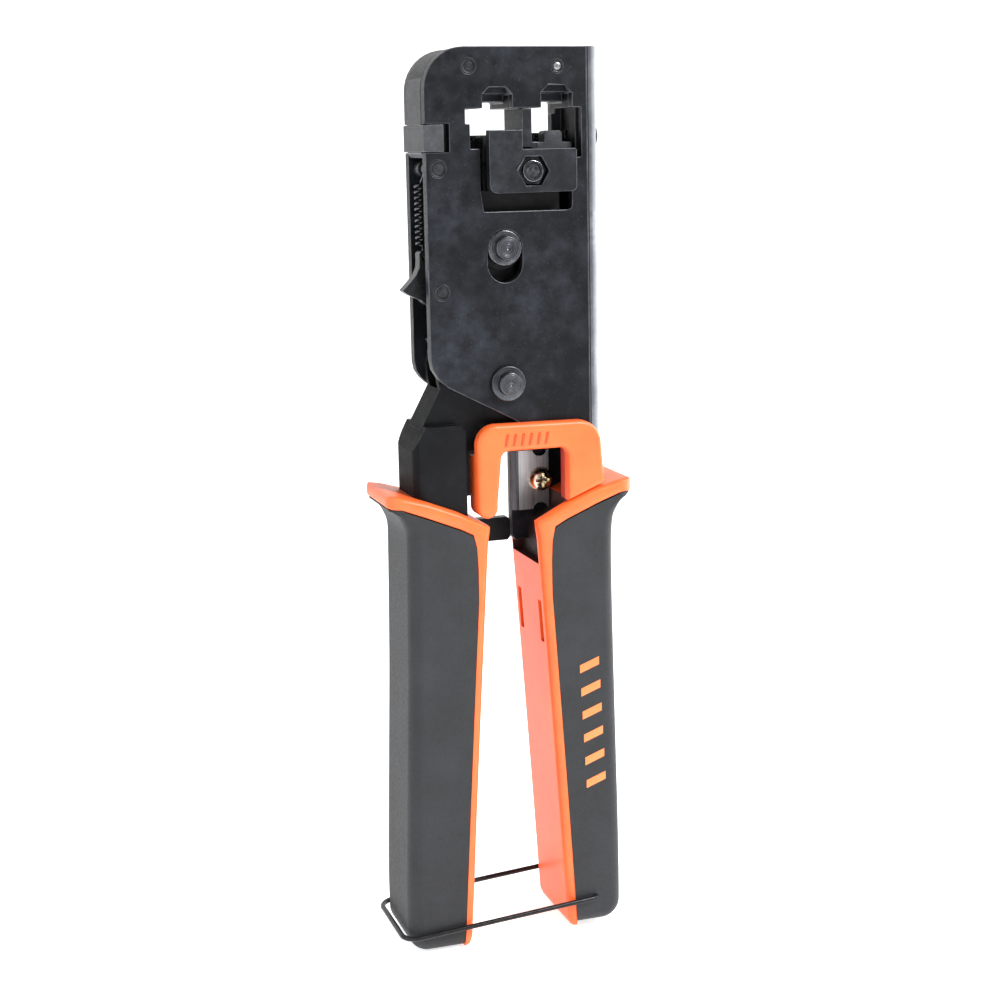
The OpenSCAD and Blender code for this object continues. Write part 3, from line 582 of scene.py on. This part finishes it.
def grip(node, zb, outer, d, mirror):
    heights = [-36, -45, -60, -75, -90, -105, -115]
    inner = [(9.0, -30.75 - d), (8.4, -33.5), (8.2, -38)] + [(xin(z) + 1.87, z) for z in heights[1:]] + [(xin(zb) + 1.95, zb)]
    rb = 4.3
    xb = outer[-1][0]
    bottom = arc(xb - rb, zb + rb, rb, -90, 0, 9)
    side = spline([(xb, zb + rb + 0.4)] + outer[::-1] + [(22.7, -30.6), (23.35, -28.2), (24.4, -26.3), (25.6, -25.1)], 4)
    tip = [(26.35, -24.75), (26.45, -24.45)]
    under = [(23.5, -24.6 - d / 2), (18.5, -26.3 - d), (12.0, -29.0 - d), (9.3, -30.35 - d)]
    pts = inner + bottom + side + tip + under
    def thick(x, z):
        line = [(27.5, -24.4)] + under
        for (xa, za), (xb2, zb2) in zip(line, line[1:]):
            if xb2 <= x <= xa:
                return za + (zb2 - za) * (x - xa) / (xb2 - xa) - z
        return 9.0

    chain = [inner[-1]] + bottom + side + tip
    edge_w = [min(1.0, max(0.03, thick((a[0] + b[0]) / 2 - 1.0, (a[1] + b[1]) / 2) / 4.2)) for a, b in zip(chain, chain[1:])]
    w = [0.0] * (len(inner) - 1) + edge_w + [0.0] * (len(under) + 1)
    o = pillow(node + "_skin", pts, -10.2, 10.2, 2.8, ("rubber",), w=w, m=8, mirror=mirror,
               extra=(-7.2, 7.2), reach=plan(26.6))
    place(o, node)
    return o


grip("right_grip", -120.5, [(22.42, -36), (22.5, -48), (22.75, -62), (23.1, -80), (23.45, -97), (23.6, -110)], 0.25, False)
grip("left_grip", -121.5, [(22.72, -36), (22.95, -48), (23.3, -62), (23.95, -80), (24.6, -98), (24.95, -110)], 0.55, True)


def liner(node, zb, d, mirror, boxes):
    heights = [-33, -37, -45, -60, -75, -90, -105, -114]
    inner = [(5.05, -29.0 - d), (5.2, -31.0)] + [(max(5.2, xin(z)), z) for z in heights]
    x0 = xin(zb)
    inner += [(xin(zb + 2.2), zb + 2.2), (x0 + 0.18, zb + 1.2), (x0 + 0.55, zb + 0.45), (x0 + 1.2, zb + 0.05)]
    outer = [(x0 + 1.8, zb)] + [(xin(z) + 1.77, z) for z in reversed(heights[2:])] + [(8.1, -38.0), (8.3, -33.5), (8.9, -30.55 - d)]
    low = [(12.0, -28.9 - d), (18.5, -26.2 - d), (23.5, -24.5 - d / 2), (26.0, -24.25)]
    tip = [(26.7, -24.0), (26.98, -23.5), (26.98, -22.2), (26.7, -21.7), (26.1, -21.45)]
    top = [(23.5, -21.6 - d / 2), (18.5, -22.8 - d), (12.0, -25.4 - d)]
    pts = inner + outer + low + tip + top
    w = [1.0] * len(inner) + [0.0] * (len(outer) - 1) + [0.25] * len(low) + [0.4] * len(tip) + [0.7] * (len(top) + 1)
    o = pillow(node + "_skin", pts, -10.2, 10.2, 1.45, ("orange",), w=w, m=6, mirror=mirror,
               extra=(-8.3, -7.8, -7.2, 7.2, 7.8, 8.3), reach=plan(27.0))
    if boxes:
        cut(o, boxes)
        # the pocket's walls are painted near-black as shade
        o.data.materials.append(MATS["pocket_shade"])
        for f in o.data.polygons:
            x, y, z = f.center[0] / MM, f.center[1] / MM, f.center[2] / MM - LIFT
            inside = 3.0 < x < 13.3 and z > -38.9 and not mirror
            if inside and min(abs(x - 13.2), abs(z + 38.8), abs(y + 8.0), abs(y - 8.6)) < 0.02:
                f.material_index = 1
        o.data.set_sharp_from_angle(angle=math.radians(32))
    place(o, node)
    return o


liner("right_liner", -120.9, 0.25, False, [((3, -8.0, -38.8), (13.2, 8.6, -20.0)),
      ((4, -7.6, -56.2), (9.3, -5.4, -47)), ((4, 5.4, -56.2), (9.3, 7.6, -47))])
liner("left_liner", -121.5, 0.55, True, [((-10, 5.0, -36.2), (-3, 7.5, -20.0))])
soften("grip_inlay", ("inlay",), 0.03)

# ------------------------------------------------------------- strip station
guard_pts = (arc(-3.45, -12.4, 4.2, 90, 180, 10) + [(-7.65, -19.0)] + arc(-5.5, -25.6, 2.15, 180, 360, 12)
             + [(-3.35, -24.6)] + arc(-0.75, -15.6, 1.7, 180, 90, 8) + arc(10.5, -15.6, 1.7, 90, 0, 8)
             + [(12.2, -20.0), (12.2, -25.3), (20.5, -21.95), (20.1, -17.6)] + arc(14.6, -13.55, 5.15, 8, 90, 10))
guard = pillow("guard_front", guard_pts, -10.1, -7.4, 0.95, ("orange",), r1=0.25, m=5)
leg = pillow("guard_leg", [(-7.55, -14.9), (-7.6, -25.6)] + arc(-5.5, -25.6, 2.1, 180, 360, 12)[1:] + [(-3.4, -24.8), (-2.95, -14.9)],
             -8.3, -3.6, 0.3, ("orange",), r1=0.5, m=4)
# the lip is painted darker orange as shade
lip = pillow("guard_lip", [(12.2, -14.6), (12.2, -25.2), (12.6, -25.1), (12.6, -14.6)], -7.6, -5.1, 0.1, ("orange_shade",), r1=0.15, m=2)
bars = []
for i in range(6):
    x = -1.6 + i * 1.75
    # the bars are painted darker orange as the shade of raised lettering
    bars.append(pillow("bar", [(x - 0.25, -12.75), (x + 0.35, -12.75), (x + 0.85, -10.25), (x + 0.25, -10.25)], -10.26, -9.9, 0.12, ("bar_orange",), r1=0.03, m=3))
place(join("strip_guard_skin", [guard, leg, lip] + bars), "strip_guard")
soften("strip_blade", ("bright", "bevel_dark"), 0.05, edge_test=lambda f: abs(f.normal.x) > 0.2)


def pan_screw(name, cx, cz, y_seat, r, h, mats):
    prof = [(0, y_seat + 3.2), (1.27, y_seat + 3.2), (1.27, y_seat), (r, y_seat), (r, y_seat - 0.35)]
    for t in (12, 28, 44, 60, 75):
        a = math.radians(t)
        prof.append((r * math.cos(a) ** 0.8 if t < 80 else 0.3, y_seat - 0.35 - (h - 0.35) * math.sin(a)))
    prof.append((0, y_seat - h))
    o = lathe(name, prof, cx, cz, mats)
    cut(o, [((cx - 1.55, y_seat - h - 1, cz - 0.34), (cx + 1.55, y_seat - h + 0.95, cz + 0.34)),
            ((cx - 0.34, y_seat - h - 1, cz - 1.55), (cx + 0.34, y_seat - h + 0.95, cz + 1.55)),
            ((cx - 0.75, y_seat - h - 1, cz - 0.75), (cx + 0.75, y_seat - h + 0.75, cz + 0.75))])
    o.data.set_sharp_from_angle(angle=math.radians(35))
    return o


place(pan_screw("blade_screw_skin", 10.8, -22.9, 4.13, 2.55, 1.95, ("brass",)), "blade_screw")

# ------------------------------------------------------------- pins and rivets
def flanged_pin(name, node, cx, cz, fr, fy, boss_y, mat, inner=None):
    prof = [(0, boss_y + 0.28), (0.22, boss_y + 0.12), (0.42, boss_y + 0.0)]
    for r in (0.75, 1.1, 1.45, 1.8):
        prof += [(r, boss_y), (r + 0.1, boss_y + 0.035), (r + 0.2, boss_y)]
    prof += [(2.2, boss_y), (2.36, boss_y + 0.06), (2.45, boss_y + 0.2), (2.45, fy - 0.12), (2.52, fy - 0.02), (2.7, fy)]
    prof += [(fr - 0.28, fy), (fr - 0.12, fy + 0.04), (fr, fy + 0.18)]
    rim = len(prof)
    prof += inner if inner else [(fr, -7.36), (2.5, -7.36)]
    prof += [(2.5, 7.65), (2.02, 7.66), (2.02, 8.34), (2.5, 8.35), (2.5, 8.7), (2.3, 8.95), (0.5, 8.95), (0.0, 8.7)]
    # on the drive pin the flange's chamfer ring takes a lighter steel: a painted highlight
    o = lathe(name, prof, cx, cz, (mat, "spring_wire"), mat_at=lambda i: rim - 3 <= i < rim - 1 and node == "drive_pin")
    place(o, node)


flanged_pin("pivot_pin_skin", "pivot_pin", 0, 0, 3.65, -8.35, -9.85, "turn_pivot")
flanged_pin("drive_pin_skin", "drive_pin", 0, 27.7, 3.6, -7.4, -9.35, "turn_drive",
            inner=[(3.6, -4.88), (2.5, -4.88), (2.5, 4.88), (3.6, 4.88), (3.6, 7.4), (2.5, 7.4)])
soften("pivot_pin_clip", ("zinc",), 0.08)
soften("drive_pin_clip", ("zinc",), 0.08)


def rivet_prof(r, inner, proud=0.2, body=7.35, waist=None):
    """Peened rivet: flat rim, pressed ring and a slightly domed middle, the same on both ends."""
    y = body + proud
    end = [(0, y - 0.02), (inner * 0.6, y - 0.03), (inner - 0.1, y - 0.08), (inner, y - 0.2), (inner + 0.16, y - 0.2),
           (inner + 0.24, y - 0.06), (r - 0.12, y - 0.02), (r, y - 0.14)]
    front = [(a, -b) for a, b in end]
    mid = [(r, -1.2), (waist, -1.2), (waist, 1.2), (r, 1.2)] if waist else []
    return front + mid + end[::-1]


a1 = lathe("rivet_a", rivet_prof(1.5, 0.95), -7.0, 63.8, ("small_oxide",), seg=40)
a2 = lathe("rivet_b", rivet_prof(1.3, 0.8), 11.8, 63.7, ("small_oxide", "bright_wear_and_highlight"), seg=40, mat_at=lambda i: i < 3)
place(join("head_rivets_skin", [a1, a2]), "head_rivets")
place(lathe("spring_anchor_pin_skin", rivet_prof(1.7, 1.15, waist=1.2), -13.8, 43.8, ("small_oxide",), seg=48), "spring_anchor_pin")
place(lathe("pawl_pin_skin", rivet_prof(1.6, 1.1), -13.6, 19.2, ("small_oxide",), seg=48), "pawl_pin")
sr = [lathe("sector_rivet", rivet_prof(1.0, 0.55, 0.0, 4.85), x, z, ("small_oxide",), seg=32) for x, z in ((-8.6, 9.2), (-11.4, 4.6))]
place(join("sector_rivets_skin", sr), "sector_rivets")
soften("block_screw", ("small_oxide",), 0.25)
soften("knee_pin", ("bright",), 0.1)
soften("pivot_bush", ("bronze",), 0.05)

# ------------------------------------------------------------- spring and bail
coil = []
turns, z0, z1 = 11, 28.3, 40.9
n = turns * 22
for i in range(n + 1):
    a = 2 * math.pi * i / 22
    coil.append((-15.9 + 0.68 * math.cos(a), 0.68 * math.sin(a), z0 + (z1 - z0) * i / n))
low = [(-15.4, 0.55, 25.75), (-15.4, 0.2, 25.55), (-15.4, -0.35, 25.55), (-15.4, -0.75, 25.95), (-15.42, -0.75, 26.6), (-15.4, -0.45, 27.5), (-15.25, -0.12, 28.05)]
high = [(-15.35, -0.1, 41.3), (-15.0, -0.35, 42.2), (-14.6, -0.2, 43.6), (-14.45, 0.0, 44.6), (-13.9, 0.12, 45.15), (-13.1, 0.1, 44.9), (-12.55, 0.0, 44.2)]


def smooth3(pts, k):
    out = []
    for i in range(len(pts) - 1):
        q = [pts[max(0, i - 1)], pts[i], pts[i + 1], pts[min(len(pts) - 1, i + 2)]]
        for j in range(k):
            t = j / k
            out.append(tuple(0.5 * (2 * q[1][c] + (q[2][c] - q[0][c]) * t + (2 * q[0][c] - 5 * q[1][c] + 4 * q[2][c] - q[3][c]) * t * t
                                    + (3 * q[1][c] - q[0][c] - 3 * q[2][c] + q[3][c]) * t ** 3) for c in range(3)))
    return out + [tuple(pts[-1])]


spring_path = smooth3(low, 5)[:-1] + coil + smooth3([coil[-1]] + high, 5)[1:]
place(tube("pawl_spring_skin", spring_path, 0.23, ("spring_wire",), 10), "pawl_spring")

BX, BZ, CX, CZ, WY = 17.2, -114.3, -26.45, -117.5, 10.2 + 0.35 + 0.55
bend = 3.4
L = math.hypot(BX - CX, BZ - CZ)
ux, uz = (CX - BX) / L, (CZ - BZ) / L


def bail_pt(s, y):
    return (BX + ux * s, y, BZ + uz * s)


half = []
half.append(bail_pt(0, 7.2))
half.append(bail_pt(0, WY - 1.0))
for k in range(1, 9):
    a = math.radians(90 * k / 8)
    half.append(bail_pt(1.0 - math.cos(a), WY - 1.0 + math.sin(a)))
half.append(bail_pt((L - bend) * 0.5, WY))
for k in range(0, 11):
    a = math.radians(90 * k / 10)
    half.append(bail_pt(L - bend + bend * math.sin(a), WY - bend + bend * math.cos(a)))
path = [(x, -y, z) for x, y, z in half] + half[::-1]
place(tube("wire_bail_skin", path, 0.545, ("wire",), 20), "wire_bail")


# ------------------------------------------------------------- head and mechanism
def plate_faces(f):
    c = f.calc_center_median()
    # faces on the right-hand fold take the lighter steel, a painted highlight; side faces of the sheet take the plate
    # edge material
    if c.x > 0.0180 and c.z > 0.100 and f.normal.x > 0.16:
        return 2
    return 1 if side_face(f) and c.x < 0.0175 else 0


# the right-hand fold is painted lighter as a highlight; the rolled edges are partly wear and partly a painted edge
# highlight
soften("frame_channel", ("plate", "plate_edge", "fold", "rim"), 0.16, 2, edge_mat=3, edge_test=plate_faces)


def lug_face(f):
    c = f.calc_center_median()
    if c.x < -0.0120 and (c.y < -0.0050 or c.x < -0.0160):
        return 1
    # faces not turned to the front are near-black: painted shade inside the nests and notch
    return 0 if f.normal.y < -0.7 else 2


# the rolled edges are partly wear and partly a painted edge highlight
soften("upper_die_block", ("face_plate", "lug", "cavity_shade", "rim"), 0.14, edge_mat=3, edge_test=lug_face)
# faces turned to the left are painted darker: shade on the lever's left side
soften("drive_lever", ("lever", "web_shade"), 0.05, 2, edge_test=lambda f: f.normal.x < -0.45)
soften("ratchet_sector", ("small_oxide",), 0.06)
soften("toggle_link", ("inner_steel",), 0.15)
# the carriage is near-black all over: painted shade inside the window
soften("die_carriage", ("cavity_shade",), 0.15)
# the carriage plate's rolled edges are partly wear and partly a painted edge highlight
soften("carriage_plate", ("face_plate", "rim"), 0.14, edge_mat=1)
nut = soften("carriage_nut", ("small_oxide",), 0.1, put=False)
# a thin bright ring on the nut's chamfer: a painted highlight
ring = lathe("nut_highlight_ring", [(1.80, -9.2), (1.84, -9.34), (1.93, -9.345), (2.08, -9.345), (2.13, -9.30), (2.16, -9.1), (1.82, -9.1), (1.80, -9.2)], 5.65, 43.0, ("bright_wear_and_highlight",), seg=56)
place(join("carriage_nut_skin", [nut, ring]), "carriage_nut")
soften("carriage_screw", ("spring_wire",), 0.1)
soften("contact_driver_8p", ("inner_steel",), 0.04)
soften("strain_pusher_8p", ("inner_steel",), 0.12)
soften("contact_driver_6p", ("inner_steel",), 0.04)
soften("strain_pusher_6p", ("block",), 0.2)
soften("ratchet_pawl", ("small_oxide",), 0.12)


# ------------------------------------------------------------- floor and light
def make_floor():
    """Pale floor that sweeps up behind the tool, so that no horizon shows."""
    bm = bmesh.new()
    prof = [(-1.6, 0.0), (-0.6, 0.0), (0.0, 0.0), (0.7, 0.0)]
    prof += [(0.7 + 0.6 * math.sin(math.radians(a)), 0.6 - 0.6 * math.cos(math.radians(a))) for a in range(6, 91, 6)]
    prof += [(1.3, 1.4), (1.3, 2.4)]
    rows = []
    for y, z in prof:
        rows.append([bm.verts.new((x * 0.4, y, z - 0.0003)) for x in range(-6, 8)])
    for a, b in zip(rows, rows[1:]):
        for k in range(len(a) - 1):
            bm.faces.new((a[k], a[k + 1], b[k + 1], b[k]))
    for f in bm.faces:
        f.smooth = True
    me = bpy.data.meshes.new("floor")
    bm.to_mesh(me)
    bm.free()
    o = new_object("floor", me)
    k = Mat("floor")
    k.set(Base_Color=(0.90, 0.90, 0.90), Roughness=k.maprange(k.noise(30, 3, 0.5), 0.3, 0.7, 0.75, 0.85),
          Emission_Color=(1, 1, 1), Emission_Strength=0.70, Specular_IOR_Level=0.1)
    me.materials.append(k.m)


make_floor()


def area(name, loc, target, size, energy, size_y=None, color=(1, 1, 1)):
    d = bpy.data.lights.new(name, "AREA")
    d.energy = energy
    d.color = color
    d.size = size
    if size_y:
        d.shape = "RECTANGLE"
        d.size_y = size_y
    o = bpy.data.objects.new(name, d)
    scene.collection.objects.link(o)
    v = Vector(target) - Vector(loc)
    o.location = loc
    o.rotation_euler = v.to_track_quat("-Z", "Y").to_euler()
    return o


TARGET = (0.0, 0.0, 0.10)
area("key", (0.32, -0.42, 0.56), TARGET, 0.15, 6.2, 0.2)
area("side_right", (0.52, 0.10, 0.16), TARGET, 0.6, 4.2, 0.6)
area("side_left", (-0.55, -0.08, 0.30), TARGET, 0.3, 1.3, 0.4)
area("fill", (-0.40, -0.55, 0.30), TARGET, 0.5, 0.7, 0.5)

world = bpy.data.worlds.new("studio")
scene.world = world
world.use_nodes = True
bg = next(n for n in world.node_tree.nodes if n.type == "BACKGROUND")
bg.inputs["Color"].default_value = (1, 1, 1, 1)
bg.inputs["Strength"].default_value = 0.29
# the backdrop behind the floor's edge is plain white, the light on the tool stays as above
nodes, links = world.node_tree.nodes, world.node_tree.links
plain = nodes.new("ShaderNodeBackground")
plain.inputs["Color"].default_value = (1, 1, 1, 1)
plain.inputs["Strength"].default_value = 1.0
blend = nodes.new("ShaderNodeMixShader")
links.new(nodes.new("ShaderNodeLightPath").outputs["Is Camera Ray"], blend.inputs["Fac"])
links.new(bg.outputs["Background"], blend.inputs[1])
links.new(plain.outputs["Background"], blend.inputs[2])
links.new(blend.outputs["Shader"], next(n for n in nodes if n.type == "OUTPUT_WORLD").inputs["Surface"])
scene.view_settings.view_transform = "Standard"
